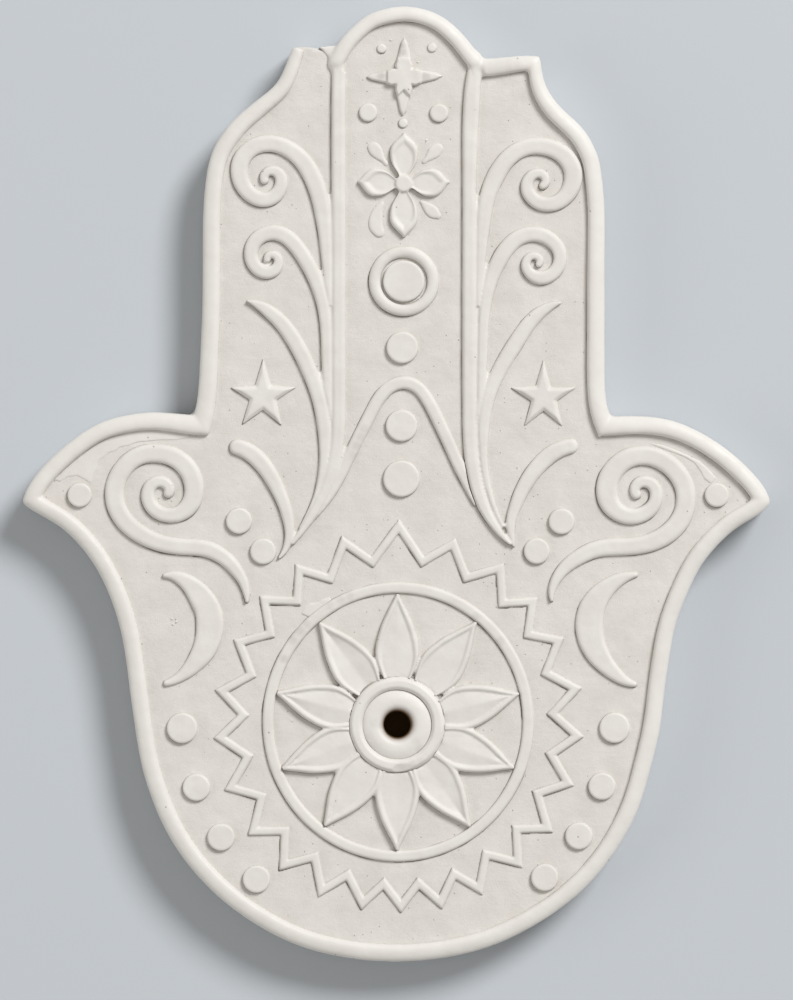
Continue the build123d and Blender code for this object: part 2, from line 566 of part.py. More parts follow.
def upright(spot, level=slab_thickness):
    return Plane((spot.X, spot.Y, level), x_dir=(1, 0, 0), z_dir=(0, -1, 0))


def turning_axis(spot):
    return Axis((spot.X, spot.Y, 0), (0, 0, 1))


def dots(name, spot_rows, height):
    # pressed pellets with a rounded upper edge; rows hold a place and a radius
    with BuildPart() as piece:
        for column, row, radius in spot_rows:
            spot = place((column, row))
            shoulder = radius - dot_edge_radius
            with BuildSketch(upright(spot)):
                with BuildLine():
                    Polyline((0, 0), (radius, 0), (radius, height - dot_edge_radius))
                    RadiusArc((radius, height - dot_edge_radius), (shoulder, height), -dot_edge_radius)
                    Polyline((shoulder, height), (0, height), (0, 0))
                make_face()
            revolve(axis=turning_axis(spot))
    save(piece, name)


edge_dots_left_rows = [(182.1, 728.2, edge_dot_big_radius), (196.4, 787.5, edge_dot_radius),
                       (221, 837.2, edge_dot_radius), (256.4, 879.2, edge_dot_radius)]
edge_dots_right_rows = [(614.6, 727.9, edge_dot_big_radius), (602, 786.4, edge_dot_radius),
                        (578.9, 836, edge_dot_radius), (544.7, 877.6, edge_dot_radius)]
palm_dots_left_rows = [(239, 521, palm_dot_radius), (263.1, 551.4, palm_dot_radius)]
palm_dots_right_rows = [(561.6, 521.4, palm_dot_radius), (536.8, 551.1, palm_dot_radius)]
thumb_dot_left_rows = [(79.6, 495, thumb_dot_radius)]
thumb_dot_right_rows = [(716.9, 495, thumb_dot_radius)]
centre_dot_upper_rows = [(402.3, 347.6, centre_dot_small_radius)]
centre_dot_middle_rows = [(401.6, 425.7, centre_dot_small_radius)]
centre_dot_lower_rows = [(401.4, 478.7, centre_dot_big_radius)]
fingertip_dots_rows = [(368.2, 112.4, fingertip_dot_radius), (439, 112.9, fingertip_dot_radius)]
fingertip_crumbs_rows = [(381.5, 48.5, crumb_radius), (432, 47.5, crumb_radius),
                         (403, 123.2, crumb_radius)]
target_centre_pixel = (403.8, 281.2)
dots("edge_dots_left", edge_dots_left_rows, dot_height)
dots("edge_dots_right", edge_dots_right_rows, dot_height)
dots("palm_dots_left", palm_dots_left_rows, dot_height)
dots("palm_dots_right", palm_dots_right_rows, dot_height)
dots("thumb_dot_left", thumb_dot_left_rows, dot_height)
dots("thumb_dot_right", thumb_dot_right_rows, dot_height)
dots("centre_dot_upper", centre_dot_upper_rows, dot_height)
dots("centre_dot_middle", centre_dot_middle_rows, dot_height)
dots("centre_dot_lower", centre_dot_lower_rows, dot_height)
dots("fingertip_dots", fingertip_dots_rows, fingertip_dot_height)
dots("fingertip_crumbs", fingertip_crumbs_rows, crumb_height)
dots("target_disc", [(*target_centre_pixel, target_disc_radius)], target_ring_height)


ring_cheek_share = 0.33
half_turn = 180


def coil_ring(name, spot, inner_radius, band_width, height):
    # ring of half-round coil, flat where it sits on the slab
    outer_radius = inner_radius + band_width
    cheek = height * ring_cheek_share
    with BuildPart() as piece:
        with BuildSketch(upright(spot)):
            with BuildLine():
                Polyline((inner_radius, cheek), (inner_radius, 0), (outer_radius, 0), (outer_radius, cheek))
                EllipticalCenterArc((inner_radius + band_width / 2, cheek), band_width / 2, height - cheek,
                                    arc_size=half_turn)
            make_face()
        revolve(axis=turning_axis(spot))
    save(piece, name)


coil_ring("target_ring", place(target_centre_pixel), target_ring_radius - target_ring_band, target_ring_band,
          target_ring_height)
coil_ring("collar_ring", cup_centre, collar_inner_radius, collar_band, collar_height)

# Oval ring round the rosette, from its outermost points left, right, top and bottom
medallion_left_pixel = (262.4, 722)
medallion_right_pixel = (533.6, 722)
medallion_top_pixel = (398, 582.2)
medallion_bottom_pixel = (398, 861.8)
medallion_centre = (place(medallion_left_pixel) + place(medallion_right_pixel)) / 2
medallion_radius_across = (place(medallion_right_pixel) - place(medallion_left_pixel)).length / 2
medallion_radius_along = (place(medallion_top_pixel) - place(medallion_bottom_pixel)).length / 2
with BuildPart() as medallion_ring:
    for height_share, inset_share in coil_section_shares:
        outer_inset = medallion_band / 2 * inset_share
        with BuildSketch(Plane.XY.offset(slab_thickness + medallion_ring_height * height_share)):
            with Locations(medallion_centre):
                Ellipse(medallion_radius_across - outer_inset, medallion_radius_along - outer_inset)
    loft(ruled=True)
    for height_share, inset_share in coil_section_shares:
        inner_inset = medallion_band * (1 - inset_share / 2)
        with BuildSketch(Plane.XY.offset(slab_thickness + medallion_ring_height * height_share)):
            with Locations(medallion_centre):
                Ellipse(medallion_radius_across - inner_inset, medallion_radius_along - inner_inset)
    loft(ruled=True, mode=Mode.SUBTRACT)
save(medallion_ring, "medallion_ring")


# Leaf petals: a bead along the edge, and inside it two facets that meet in a ridge or a groove

# share of the height and share of the bead's width, from the slab up and then down inside the bead
petal_bead_shares = [(0, 0), (0.45, 0), (0.8, 0.1), (1, 0.3)]
petal_hollow_shares = [(0.7, 1), (1, 0.6), (1.4, 0.3)]
petal_tip_share = 1.8


def leaf_face(level, root, tip, half_widths):
    # leaf whose half widths are spread evenly from its root to its tip
    axis = tip - root
    side = left_of(axis.normalized())
    left, right = [], []
    for index, half in enumerate(half_widths):
        spot = root + axis * (index / (len(half_widths) - 1))
        left.append(spot + side * half)
        right.append(spot - side * half)
    with BuildSketch(Plane.XY.offset(level)) as leaf:
        with BuildLine():
            Spline(*left)
            round_tip(left[-1], right[-1])
            Spline(*reversed(right))
            Line(right[0], left[0])
        make_face()
    return leaf.sketch.faces()[0]


def petal(name, root, tip, half_width, width_shares, bead_width, height, crease_share, trimmed_by):
    def face(height_share, inset):
        # a face inside the bead ends short of the tip by more than the bead's width
        inner_tip = tip - (tip - root).normalized() * inset * petal_tip_share
        half_widths = [(half_width - inset) * share for share in width_shares]
        return leaf_face(slab_thickness + height * height_share, root, inner_tip, half_widths)

    bead = [face(up, bead_width * inward) for up, inward in petal_bead_shares]
    hollow = [face(up, bead_width * inward) for up, inward in petal_hollow_shares]
    with BuildPart() as piece:
        loft(bead, ruled=True)
        loft(hollow, ruled=True, mode=Mode.SUBTRACT)
        if crease_share:
            crease_tip = tip - (tip - root).normalized() * bead_width * petal_tip_share
            crease_half_widths = [petal_crease_half_width * share for share in width_shares]
            crease = leaf_face(slab_thickness + height * crease_share, root, crease_tip, crease_half_widths)
            rises = crease_share > petal_hollow_shares[0][0]
            loft([hollow[0], crease], ruled=True, mode=Mode.ADD if rises else Mode.SUBTRACT)
        for blank in trimmed_by:
            add(blank, mode=Mode.SUBTRACT)
    save(piece, name)


def round_blank(centre, radius):
    with BuildPart() as blank:
        with BuildSketch(Plane.XY.offset(slab_thickness - cutter_overrun)):
            with Locations(centre):
                Circle(radius)
        extrude(amount=2 * cutter_overrun + rim_height)
    return blank.part


def spoke(angle):
    return Vector(math.cos(math.radians(angle)), math.sin(math.radians(angle)))


rosette_width_shares = [0.4, 0.6, 0.79, 0.94, 0.95, 0.85, 0.7, 0.49, 0.25, 0.04]
rosette_tip_pixels = [(397.5, 592.2), (476.7, 621.3), (520.1, 693.3), (515.3, 768.3), (470.4, 827.1),
                      (397.1, 850.8), (323.8, 826.9), (280.1, 769.3), (274.8, 692.2), (318.7, 621.3)]
# height of the crease: above the floor of the hollow it is a ridge, below it a groove
rosette_crease_shares = [0.76, 0.64, 0.92, 0.86, 0.5, 0.64, 0.78, 0.88, 0.95, 0.44]
rosette_angles = []
for tip_pixel in rosette_tip_pixels:
    toward = place(tip_pixel) - cup_centre
    rosette_angles.append(math.degrees(math.atan2(toward.Y, toward.X)))

collar_blank = round_blank(cup_centre, collar_outer_radius + slip_gap)
with BuildPart() as medallion_blank:
    with BuildSketch(Plane.XY.offset(slab_thickness - cutter_overrun)):
        with Locations(medallion_centre):
            Ellipse(medallion_radius_across + cutter_overrun, medallion_radius_along + cutter_overrun)
            Ellipse(medallion_radius_across - medallion_band - slip_gap,
                    medallion_radius_along - medallion_band - slip_gap, mode=Mode.SUBTRACT)
    extrude(amount=2 * cutter_overrun)
petal_count = len(rosette_tip_pixels)
for index, tip_pixel in enumerate(rosette_tip_pixels):
    angle = rosette_angles[index]
    outward = spoke(angle)
    # the petals are listed clockwise, and each keeps to its own share of the turn
    upper = angle + ((rosette_angles[index - 1] - angle) % 360) / 2
    lower = angle - ((angle - rosette_angles[(index + 1) % petal_count]) % 360) / 2
    upper_side = cup_centre - left_of(spoke(upper)) * slip_gap / 2
    lower_side = cup_centre + left_of(spoke(lower)) * slip_gap / 2
    petal(f"rosette_petal_{index + 1:02d}", cup_centre + outward * cup_flange_radius, place(tip_pixel),
          medallion_petal_half_width, rosette_width_shares, medallion_bead_width, medallion_petal_height,
          rosette_crease_shares[index],
          [collar_blank, medallion_blank.part, beyond(upper_side, upper_side + spoke(upper)),
           beyond(lower_side + spoke(lower), lower_side)])

flower_centre_pixel = (403.6, 183.7)
flower_centre = place(flower_centre_pixel)
flower_width_shares = [0.28, 0.35, 0.56, 0.77, 0.89, 0.93, 0.92, 0.78, 0.48, 0.1]
flower_tip_pixels = {"top": (404.4, 134.2), "right": (448.3, 182), "bottom": (404, 236),
                     "left": (359.2, 181.6)}
button_blank = round_blank(flower_centre, flower_button_radius + slip_gap)
for side_name, tip_pixel in flower_tip_pixels.items():
    tip = place(tip_pixel)
    root = flower_centre + (tip - flower_centre).normalized() * flower_button_radius / 2
    petal(f"flower_petal_{side_name}", root, tip, flower_petal_half_width, flower_width_shares,
          flower_bead_width, flower_petal_height, 0, [button_blank])
dots("flower_button", [(*flower_centre_pixel, flower_button_radius)], flower_button_height)

bud_rows = [[(373.5, 147.5, 0.9), (376.5, 151.5, 0.95), (380.5, 156.5, 0.6), (386.5, 163.5, 0.3)],
            [(438, 148.5, 0.8), (434, 152, 0.95), (429.5, 156.5, 0.6), (424, 161.5, 0.3)],
            [(379.5, 232, 0.8), (375.5, 222, 1.05), (377.5, 212, 0.8), (382, 203.5, 0.4)],
            [(438, 215.5, 0.5), (432.5, 211.5, 0.9), (427, 206.5, 0.7), (421.5, 201.5, 0.3)]]
with BuildPart() as flower_buds:
    for rows in bud_rows:
        left, right = band_edges(rows, bud_half_width)
        with BuildSketch(Plane.XY.offset(slab_thickness)):
            with BuildLine():
                Spline(*left)
                round_tip(left[-1], right[-1])
                Spline(*reversed(right))
                round_tip(right[0], left[0])
            make_face()
    extrude(amount=bud_height)
save(flower_buds, "flower_buds")


# Stick cup: a flange under the collar, a roll that leads the stick in, and a closed stem

# heights here are counted from the slab's face
bore_mouth = cup_flange_crown - cup_roll_radius
crown_radius = cup_bore_radius + cup_roll_radius
cup_foot = pocket_floor - slab_thickness
bore_floor = cup_foot + cup_floor
with BuildPart() as stick_cup:
    with BuildSketch(upright(cup_centre)):
        with BuildLine():
            Polyline((0, cup_foot), (cup_stem_radius, cup_foot), (cup_stem_radius, 0),
                     (cup_flange_radius, 0), (cup_flange_radius, cup_flange_edge))
            ThreePointArc((cup_flange_radius, cup_flange_edge),
                          ((cup_flange_radius + crown_radius) / 2, cup_flange_middle),
                          (crown_radius, cup_flange_crown))
            RadiusArc((crown_radius, cup_flange_crown), (cup_bore_radius, bore_mouth), -cup_roll_radius)
            Polyline((cup_bore_radius, bore_mouth), (cup_bore_radius, bore_floor), (0, bore_floor),
                     (0, cup_foot))
        make_face()
    revolve(axis=turning_axis(cup_centre))
save(stick_cup, "stick_cup")
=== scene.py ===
import math
import bpy
import numpy as np
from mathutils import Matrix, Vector
from mathutils.bvhtree import BVHTree
from mathutils.noise import noise


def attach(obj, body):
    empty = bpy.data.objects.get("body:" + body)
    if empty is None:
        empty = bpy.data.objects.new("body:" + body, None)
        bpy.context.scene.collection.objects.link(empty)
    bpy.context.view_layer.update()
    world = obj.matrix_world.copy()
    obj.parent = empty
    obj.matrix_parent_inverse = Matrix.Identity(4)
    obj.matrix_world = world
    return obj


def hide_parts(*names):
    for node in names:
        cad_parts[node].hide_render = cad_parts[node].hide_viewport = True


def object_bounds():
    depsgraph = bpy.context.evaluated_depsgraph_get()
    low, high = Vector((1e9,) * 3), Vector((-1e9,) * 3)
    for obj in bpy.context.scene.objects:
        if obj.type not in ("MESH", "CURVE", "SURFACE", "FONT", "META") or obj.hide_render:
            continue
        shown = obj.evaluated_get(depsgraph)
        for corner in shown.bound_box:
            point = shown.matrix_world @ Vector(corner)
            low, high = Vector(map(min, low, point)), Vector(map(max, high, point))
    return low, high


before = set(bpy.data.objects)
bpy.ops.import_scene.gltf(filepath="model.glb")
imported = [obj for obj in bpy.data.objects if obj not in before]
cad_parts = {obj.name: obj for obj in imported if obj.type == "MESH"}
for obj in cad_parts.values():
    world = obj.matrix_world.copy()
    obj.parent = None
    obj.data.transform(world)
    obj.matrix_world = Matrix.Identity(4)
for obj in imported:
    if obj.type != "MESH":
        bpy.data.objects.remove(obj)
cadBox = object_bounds()
print("frame:", len(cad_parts), "clay pieces")

picture = {
    "pixel": 0.00015,            # metres of the ornament's face for one pixel of the picture
    "middle": (396.5, 500.0),    # pixel in the middle of the picture
    "origin": (396.25, 484.0),   # pixel over the ornament's origin
    "rows": 1000,
    "lens": 250,                 # long lens, so that the relief hardly leans
    "sensor": 36,
    "clip": (0.01, 20),
    "faceHeight": 0.0074,        # height at which one pixel is true
}
slabFace = 0.007     # height of the slab's face


def spotAt(column, row, height=slabFace):
    return Vector(((column - picture["origin"][0]) * picture["pixel"],
                   (picture["origin"][1] - row) * picture["pixel"], height))


def addCamera():
    camera = bpy.data.cameras.new("topCamera")
    camera.lens = picture["lens"]
    camera.sensor_width = picture["sensor"]
    camera.sensor_fit = "VERTICAL"
    camera.sensor_height = picture["sensor"]
    camera.clip_start, camera.clip_end = picture["clip"]
    distance = picture["rows"] * picture["pixel"] * camera.lens / camera.sensor_height
    topCamera = bpy.data.objects.new("topCamera", camera)
    topCamera.location = spotAt(*picture["middle"], picture["faceHeight"] + distance)
    bpy.context.scene.collection.objects.link(topCamera)
    bpy.context.scene.camera = topCamera


addCamera()

studio = {
    "worldColor": (1.0, 0.965, 0.925, 1), "worldStrength": 0.385,
    "keyFrom": (1.04, 1.22, 1.5), "keySize": 0.8, "keyPower": 41, "keyColor": (1.0, 0.992, 0.985),
    "fillFrom": (-1.9, -0.5, 1.0), "fillSize": 1.4, "fillPower": 9, "fillColor": (1.0, 0.985, 0.96),
    "floorColor": (0.535, 0.575, 0.615, 1), "floorRough": 0.85, "floorSize": 6,
}


def addLamp(name, place, size, power, color):
    lamp = bpy.data.lights.new(name, "AREA")
    lamp.shape = "DISK"
    lamp.size = size
    lamp.energy = power
    lamp.color = color
    holder = bpy.data.objects.new(name, lamp)
    holder.location = place
    holder.rotation_euler = (-Vector(place)).to_track_quat("-Z", "Y").to_euler()
    bpy.context.scene.collection.objects.link(holder)


def setStudio():
    world = bpy.data.worlds.new("paleRoom")
    bpy.context.scene.world = world
    world.use_nodes = True
    back = world.node_tree.nodes["Background"]
    back.inputs["Color"].default_value = studio["worldColor"]
    back.inputs["Strength"].default_value = studio["worldStrength"]
    addLamp("keyLamp", studio["keyFrom"], studio["keySize"], studio["keyPower"], studio["keyColor"])
    addLamp("fillLamp", studio["fillFrom"], studio["fillSize"], studio["fillPower"], studio["fillColor"])
    bpy.ops.mesh.primitive_plane_add(size=studio["floorSize"], location=(0, 0, 0))
    table = bpy.context.object
    table.name = "paleTable"
    paint = bpy.data.materials.new("paleTablePaper")
    paint.use_nodes = True
    shader = paint.node_tree.nodes["Principled BSDF"]
    shader.inputs["Base Color"].default_value = studio["floorColor"]
    shader.inputs["Roughness"].default_value = studio["floorRough"]
    table.data.materials.append(paint)
    bpy.context.scene.view_settings.view_transform = "Standard"


setStudio()
print("studio ready")

# scales are per metre, depths in metres
bareClay = {"color": (0.735, 0.715, 0.685), "shade": (0.665, 0.64, 0.605), "rough": 0.62,
            "mottle": 240, "grain": 5200, "grainDepth": 0.00006, "lumpDepth": 0.00016,
            "pits": 1600, "pitShare": 0.925, "pitSize": 0.085, "specks": 0.87,
            # crevice colour and reach: dirt at the feet, and painted shade in hollows, in gaps and on sides
            # away from the key lamp
            "creviceShadeAndDirt": (0.1, 0.068, 0.044), "aoShadeReach": 0.0003}
# coils and rim are lighter than the slab: smoother clay, and painted light for the more light that raised parts
# catch
coilClayPaintedLight = dict(bareClay, color=(0.765, 0.75, 0.72), shade=(0.705, 0.685, 0.65), rough=0.52, grain=4200,
                grainDepth=0.00002, lumpDepth=0.00011, pits=1100, pitShare=0.975, specks=0.985)
burnishedClayPaintedLight = dict(coilClayPaintedLight, color=(0.78, 0.765, 0.735), shade=(0.735, 0.715, 0.68), rough=0.45,
                     grainDepth=0.000015, pitShare=0.99, specks=0.995)
# soot of the stick and painted shade deep in the bore, by the distance from the middle of the bore and by the
# height
sootAndShadeClay = dict(burnishedClayPaintedLight, boreDarkAt=(399, 723.4), boreDarkReach=(0.002, 0.0033), boreDarkHeight=(0.0068, 0.0084),
                  brownFrom=(0.02, 0.5), brown=(0.2, 0.14, 0.09),
                  blackFrom=(0.35, 0.85), black=(0.11, 0.07, 0.032), dullFrom=(0.2, 0.6))
# What all clays share. A cloud is its detail and roughness, a range is from, to and what it gives there.
surface = {
    "mottleCloud": (4, 0.6), "mottleRange": (0.3, 0.7), "roughSpread": 0.06,
    "grainCloud": (3, 0.7), "grainRange": (0.35, 0.65, 0.0, 0.15),
    "brushCloud": (2, 0.6), "brushCoarser": 3, "brushTurn": 38, "brushStretch": 0.1, "brushShare": 0.3,
    "speckFiner": 1.7, "speckWider": 1.2, "speckShare": 0.6, "speckColor": (0.86, 0.85, 0.82),
    "pitShare": 0.5, "pitDepth": 0.00006, "dotFade": 2,
    "aoShadeSamples": 8, "aoShadeRange": (0.08, 0.42, 0.62, 0), "dirtAndShadeRange": (0.3, 0.6, 0.7, 1),
    "lumpCloud": (2, 0.5), "lumpFiner": 1.6, "shine": 0.32,
}


def addNode(tree, kind, **settings):
    node = tree.nodes.new(kind)
    for key, value in settings.items():
        setattr(node, key, value)
    return node


def clayFinish(name, look):
    finish = bpy.data.materials.new(name)
    finish.use_nodes = True
    tree = finish.node_tree
    link = tree.links.new
    shader = tree.nodes["Principled BSDF"]
    place = addNode(tree, "ShaderNodeTexCoord").outputs["Object"]

    def noiseAt(scale, detail, rough, turned=None, stretched=1):
        cloud = addNode(tree, "ShaderNodeTexNoise")
        cloud.inputs["Scale"].default_value = scale
        cloud.inputs["Detail"].default_value = detail
        cloud.inputs["Roughness"].default_value = rough
        if turned is not None:
            turn = addNode(tree, "ShaderNodeMapping")
            turn.inputs["Rotation"].default_value = (0, 0, math.radians(turned))
            turn.inputs["Scale"].default_value = (stretched, 1, 1)
            link(place, turn.inputs["Vector"])
            link(turn.outputs["Vector"], cloud.inputs["Vector"])
        else:
            link(place, cloud.inputs["Vector"])
        return cloud.outputs["Fac"]

    def ranged(value, low, high, outLow=0.0, outHigh=1.0):
        spread = addNode(tree, "ShaderNodeMapRange")
        spread.inputs["From Min"].default_value = low
        spread.inputs["From Max"].default_value = high
        spread.inputs["To Min"].default_value = outLow
        spread.inputs["To Max"].default_value = outHigh
        link(value, spread.inputs["Value"])
        return spread.outputs["Result"]

    def mixed(share, first, second):
        mix = addNode(tree, "ShaderNodeMix", data_type="RGBA")
        link(share, mix.inputs["Factor"])
        for value, socket in ((first, mix.inputs["A"]), (second, mix.inputs["B"])):
            if isinstance(value, tuple):
                socket.default_value = (*value, 1)
            else:
                link(value, socket)
        return mix.outputs["Result"]

    def worked(first, second, operation="MULTIPLY"):
        step = addNode(tree, "ShaderNodeMath", operation=operation)
        for index, value in enumerate((first, second)):
            if isinstance(value, (int, float)):
                step.inputs[index].default_value = value
            else:
                link(value, step.inputs[index])
        return step.outputs["Value"]

    def dotted(scale, share, size):
        # dots in a few of the cells only
        cells = addNode(tree, "ShaderNodeTexVoronoi")
        cells.inputs["Scale"].default_value = scale
        link(place, cells.inputs["Vector"])
        chosen = addNode(tree, "ShaderNodeSeparateColor")
        link(cells.outputs["Color"], chosen.inputs["Color"])
        few = worked(chosen.outputs["Red"], share, "GREATER_THAN")
        return worked(few, ranged(cells.outputs["Distance"], size, size * surface["dotFade"], 1, 0))

    mottle = ranged(noiseAt(look["mottle"], *surface["mottleCloud"]), *surface["mottleRange"])
    grain = noiseAt(look["grain"], *surface["grainCloud"])
    brush = noiseAt(look["grain"] / surface["brushCoarser"], *surface["brushCloud"],
                    surface["brushTurn"], surface["brushStretch"])
    pit = dotted(look["pits"], look["pitShare"], look["pitSize"])
    speck = dotted(look["pits"] * surface["speckFiner"], look["specks"],
                   look["pitSize"] * surface["speckWider"])

    clay = mixed(mottle, look["shade"], look["color"])
    clay = mixed(ranged(grain, *surface["grainRange"]), clay, look["shade"])
    clay = mixed(worked(speck, surface["speckShare"]), clay, surface["speckColor"])
    clay = mixed(worked(pit, surface["pitShare"]), clay, look["creviceShadeAndDirt"])
    # painted shade: ambient occlusion mixes the crevice colour into hollows and corners
    aoShade = addNode(tree, "ShaderNodeAmbientOcclusion", samples=surface["aoShadeSamples"])
    aoShade.inputs["Distance"].default_value = look["aoShadeReach"]
    clay = mixed(ranged(aoShade.outputs["AO"], *surface["aoShadeRange"]), clay, look["creviceShadeAndDirt"])
    # the stored dark line and patches: dirt and thin slip, with painted shade away from the key lamp, in gaps
    # and on flats
    dirtAndShade = addNode(tree, "ShaderNodeAttribute", attribute_name="creviceShadeAndDirt").outputs["Fac"]
    clay = mixed(worked(dirtAndShade, ranged(grain, *surface["dirtAndShadeRange"])), clay, look["creviceShadeAndDirt"])
    shader.inputs["Specular IOR Level"].default_value = surface["shine"]
    if "boreDarkAt" in look:
        middle = spotAt(*look["boreDarkAt"], 0)
        parts = addNode(tree, "ShaderNodeSeparateXYZ")
        link(place, parts.inputs["Vector"])
        across = worked(worked(parts.outputs["X"], middle.x, "SUBTRACT"), 2, "POWER")
        along = worked(worked(parts.outputs["Y"], middle.y, "SUBTRACT"), 2, "POWER")
        away = worked(worked(across, along, "ADD"), 0.5, "POWER")
        near = ranged(away, *look["boreDarkReach"], 1, 0)
        deep = ranged(parts.outputs["Z"], *look["boreDarkHeight"], 1, 0)
        # soot and painted shade: darker nearer the bore's middle and lower down
        sootAndShade = worked(near, deep)
        clay = mixed(ranged(sootAndShade, *look["brownFrom"]), clay, look["brown"])
        clay = mixed(ranged(sootAndShade, *look["blackFrom"]), clay, look["black"])
        link(ranged(sootAndShade, *look["dullFrom"], surface["shine"], 0), shader.inputs["Specular IOR Level"])
    link(clay, shader.inputs["Base Color"])
    roughest, smoothest = look["rough"] + surface["roughSpread"], look["rough"] - surface["roughSpread"]
    link(ranged(mottle, 0, 1, roughest, smoothest), shader.inputs["Roughness"])

    fine = addNode(tree, "ShaderNodeBump")
    fine.inputs["Distance"].default_value = look["grainDepth"]
    link(worked(grain, worked(brush, surface["brushShare"]), "ADD"), fine.inputs["Height"])
    broad = addNode(tree, "ShaderNodeBump")
    broad.inputs["Distance"].default_value = look["lumpDepth"]
    link(noiseAt(look["mottle"] * surface["lumpFiner"], *surface["lumpCloud"]), broad.inputs["Height"])
    link(fine.outputs["Normal"], broad.inputs["Normal"])
    prick = addNode(tree, "ShaderNodeBump", invert=True)
    prick.inputs["Distance"].default_value = surface["pitDepth"]
    link(pit, prick.inputs["Height"])
    link(broad.outputs["Normal"], prick.inputs["Normal"])
    link(prick.outputs["Normal"], shader.inputs["Normal"])
    return finish


slabFinish = clayFinish("bareSlabClay", bareClay)
coilFinish = clayFinish("bareCoilClayPaintedLight", coilClayPaintedLight)
rimFinish = clayFinish("burnishedClayPaintedLight", burnishedClayPaintedLight)
cupFinish = clayFinish("sootAndShadeCupClay", sootAndShadeClay)
print("clay finishes ready")

modelling = {
    "sameSpot": 0.000001,           # points closer than this are one
    "smoothing": 0.5,
    "cloudShift": (3.7, 1.3, 1),    # how far each seed moves the noise
    "keptHeight": 0.0001,           # above the face this stays as it is
    "keptFade": 0.0005,
    "nearFade": 1.6,
}


def only(piece):
    bpy.ops.object.select_all(action="DESELECT")
    piece.select_set(True)
    bpy.context.view_layer.objects.active = piece


def copyOf(node, name):
    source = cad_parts[node]
    piece = bpy.data.objects.new(name, source.data.copy())
    bpy.context.scene.collection.objects.link(piece)
    only(piece)
    bpy.ops.object.mode_set(mode="EDIT")
    bpy.ops.mesh.select_all(action="SELECT")
    bpy.ops.mesh.remove_doubles(threshold=modelling["sameSpot"])
    bpy.ops.object.mode_set(mode="OBJECT")
    piece.data.materials.clear()
    return piece


def applied(piece, name, kind, **settings):
    only(piece)
    modifier = piece.modifiers.new(name, kind)
    for key, value in settings.items():
        setattr(modifier, key, value)
    bpy.ops.object.modifier_apply(modifier=name)


def soften(piece, voxel, passes):
    applied(piece, "clayGrid", "REMESH", mode="VOXEL", voxel_size=voxel, use_smooth_shade=True)
    if passes:
        applied(piece, "worn", "SMOOTH", factor=modelling["smoothing"], iterations=passes)


def pointsOf(piece, kind="co"):
    spots = np.empty(len(piece.data.vertices) * 3)
    piece.data.vertices.foreach_get(kind, spots)
    return spots.reshape(-1, 3)


def setPoints(piece, spots):
    piece.data.vertices.foreach_set("co", np.ascontiguousarray(spots).reshape(-1))
    piece.data.update()


def cloudAt(spots, size, seed):
    shift = Vector([seed * step for step in modelling["cloudShift"]])
    return np.array([noise(Vector(spot) / size + shift) for spot in spots])


def handWork(piece, depth, size, seed):
    # slow unevenness of rolled and pressed clay; what lies on the slab's face stays on it
    spots = pointsOf(piece)
    keep = np.clip((spots[:, 2] - slabFace - modelling["keptHeight"]) / modelling["keptFade"], 0, 1)
    spots += pointsOf(piece, "normal") * (cloudAt(spots, size, seed) * depth * keep)[:, None]
    setPoints(piece, spots)


slip = {
    "reach": 0.0003, "spread": 0.00015,             # fillet, up and outwards
    "lipHeight": 0.0002, "lipSpread": 0.00021,
    "sink": 0.0003,                                 # depth of the feet in the slab
    "size": 0.0025,                                 # of its unevenness
    "towardKey": (0.74, 0.67), "litShares": (0.5, 0.65),
    "standing": 0.2,                                # least lean of a wall that slip clings to
    # strength of the dark line at the foot: dirt all round, and painted shade on the side away from the key
    # lamp
    "dirtAndShade": 1.1, "dirtAndShadeTop": 1.5, "dirtAndShadeShares": (0.1, 0.9),
    "gapShadeTop": 0.0005, "gapShadeFade": 0.00025,
    "footHeight": 0.00003, "undersideHeight": 0.0004, "undersideTurn": -0.35,
}


def nearTo(spots, places):
    # 1 at the places, given as pixel and radius in pixels, and 0 away from them
    share = np.zeros(len(spots))
    for column, row, radius in places:
        middle = spotAt(column, row)
        gap = np.hypot(spots[:, 0] - middle.x, spots[:, 1] - middle.y) / (radius * picture["pixel"])
        share = np.maximum(share, np.clip(modelling["nearFade"] - gap, 0, 1))
    return share


